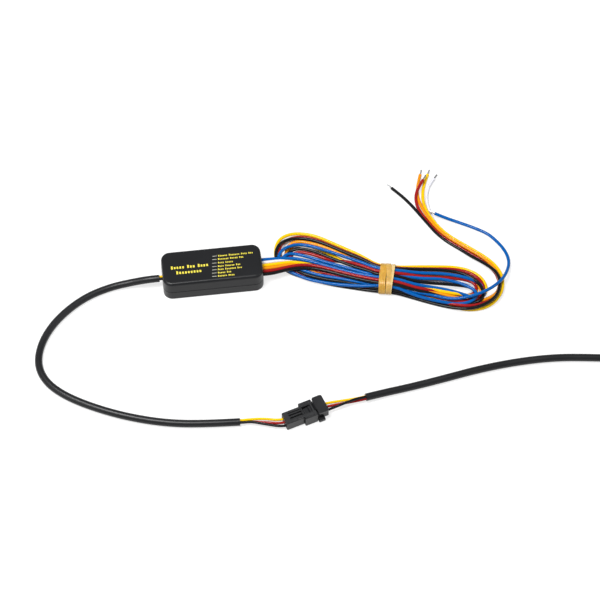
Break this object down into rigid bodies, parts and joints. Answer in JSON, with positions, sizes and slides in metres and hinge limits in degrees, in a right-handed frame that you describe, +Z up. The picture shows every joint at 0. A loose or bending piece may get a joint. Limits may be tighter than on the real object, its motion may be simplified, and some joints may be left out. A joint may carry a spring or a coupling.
{
  "type": "lamp controller unit with wire harness",
  "caption": "Small black controller box with a hank of coloured wires on one end and a jacketed cable on the other, joined by a latched plug to a lamp lead.",
  "frame": {"origin": "centre of the underside of the controller case", "axes": "+X along the case towards the wire harness, +Z up from the surface that the case stands on, +Y across the case away from the plugged connectors"},
  "size_m": [0.4149, 0.1866, 0.015],
  "materials": {
    "case_black": "satin",
    "board_green": "matte",
    "seal_black": "matte",
    "chip_black": "matte",
    "can_aluminium": "brushed",
    "diode_grey": "matte",
    "resistor_dark": "matte",
    "ceramic_tan": "matte",
    "solder": "satin",
    "tinned_copper": "satin",
    "jacket_black": "satin",
    "connector_black": "satin",
    "brass_tinned": "satin",
    "band_amber": "satin",
    "mixed_wires": "satin",
    "mixed_cores": "satin",
    "wire_blue": "satin",
    "wire_white": "satin",
    "wire_yellow": "satin",
    "wire_orange": "satin",
    "wire_red": "satin",
    "wire_black": "satin",
    "tie_black": "satin"
  },
  "bodies": {
    "controller": {"black_wire_lead": "wire_black", "black_wire_tail": "wire_black", "blue_wire_lead": "wire_blue", "blue_wire_tail": "wire_blue", "board_solder": "solder", "cable_inner_cores": "mixed_cores", "cable_seal": "seal_black", "case_base": "case_black", "case_cover": "case_black", "chip_capacitors": "ceramic_tan", "chip_resistors": "resistor_dark", "circuit_board": "board_green", "control_chip": "chip_black", "controller_cable": "jacket_black", "controller_cable_cores": "mixed_cores", "harness_band": "band_amber", "harness_hank": "mixed_wires", "harness_inner_ends": "mixed_wires", "harness_seal": "seal_black", "input_diodes": "diode_grey", "orange_wire_lead": "wire_orange", "orange_wire_tail": "wire_orange", "pin_contacts": "brass_tinned", "power_transistors": "chip_black", "receptacle_housing": "connector_black", "red_wire_lead": "wire_red", "red_wire_tail": "wire_red", "supply_capacitor": "can_aluminium", "voltage_regulator": "chip_black", "white_wire_lead": "wire_white", "white_wire_tail": "wire_white", "wire_tips": "tinned_copper", "yellow_wire_lead": "wire_yellow", "yellow_wire_tail": "wire_yellow"},
    "lamp_plug": {"coil_tie": "tie_black", "lamp_end_cores": "mixed_cores", "lamp_end_housing": "connector_black", "lamp_end_pins": "brass_tinned", "lamp_lead": "jacket_black", "lamp_lead_coil": "jacket_black", "lamp_lead_cores": "mixed_cores", "lamp_lead_end": "jacket_black", "plug_housing": "connector_black", "socket_contacts": "brass_tinned"},
    "latch": {"latch_lever": "connector_black"}
  },
  "joints": [
    {"name": "plug_slide", "type": "slide", "parent": "controller", "child": "lamp_plug", "axis": [0.9537, 0.3007, 0], "range_m": [0, 0.0125], "deforming": ["latch_lever"]},
    {"name": "latch_press", "type": "hinge", "parent": "lamp_plug", "child": "latch", "pos_m": [0.04522, -0.10955, 0.00525], "axis": [-0.3007, 0.9537, 0], "range_deg": [0, 7], "stiffness_Nm_per_rad": 0.02}
  ]
}
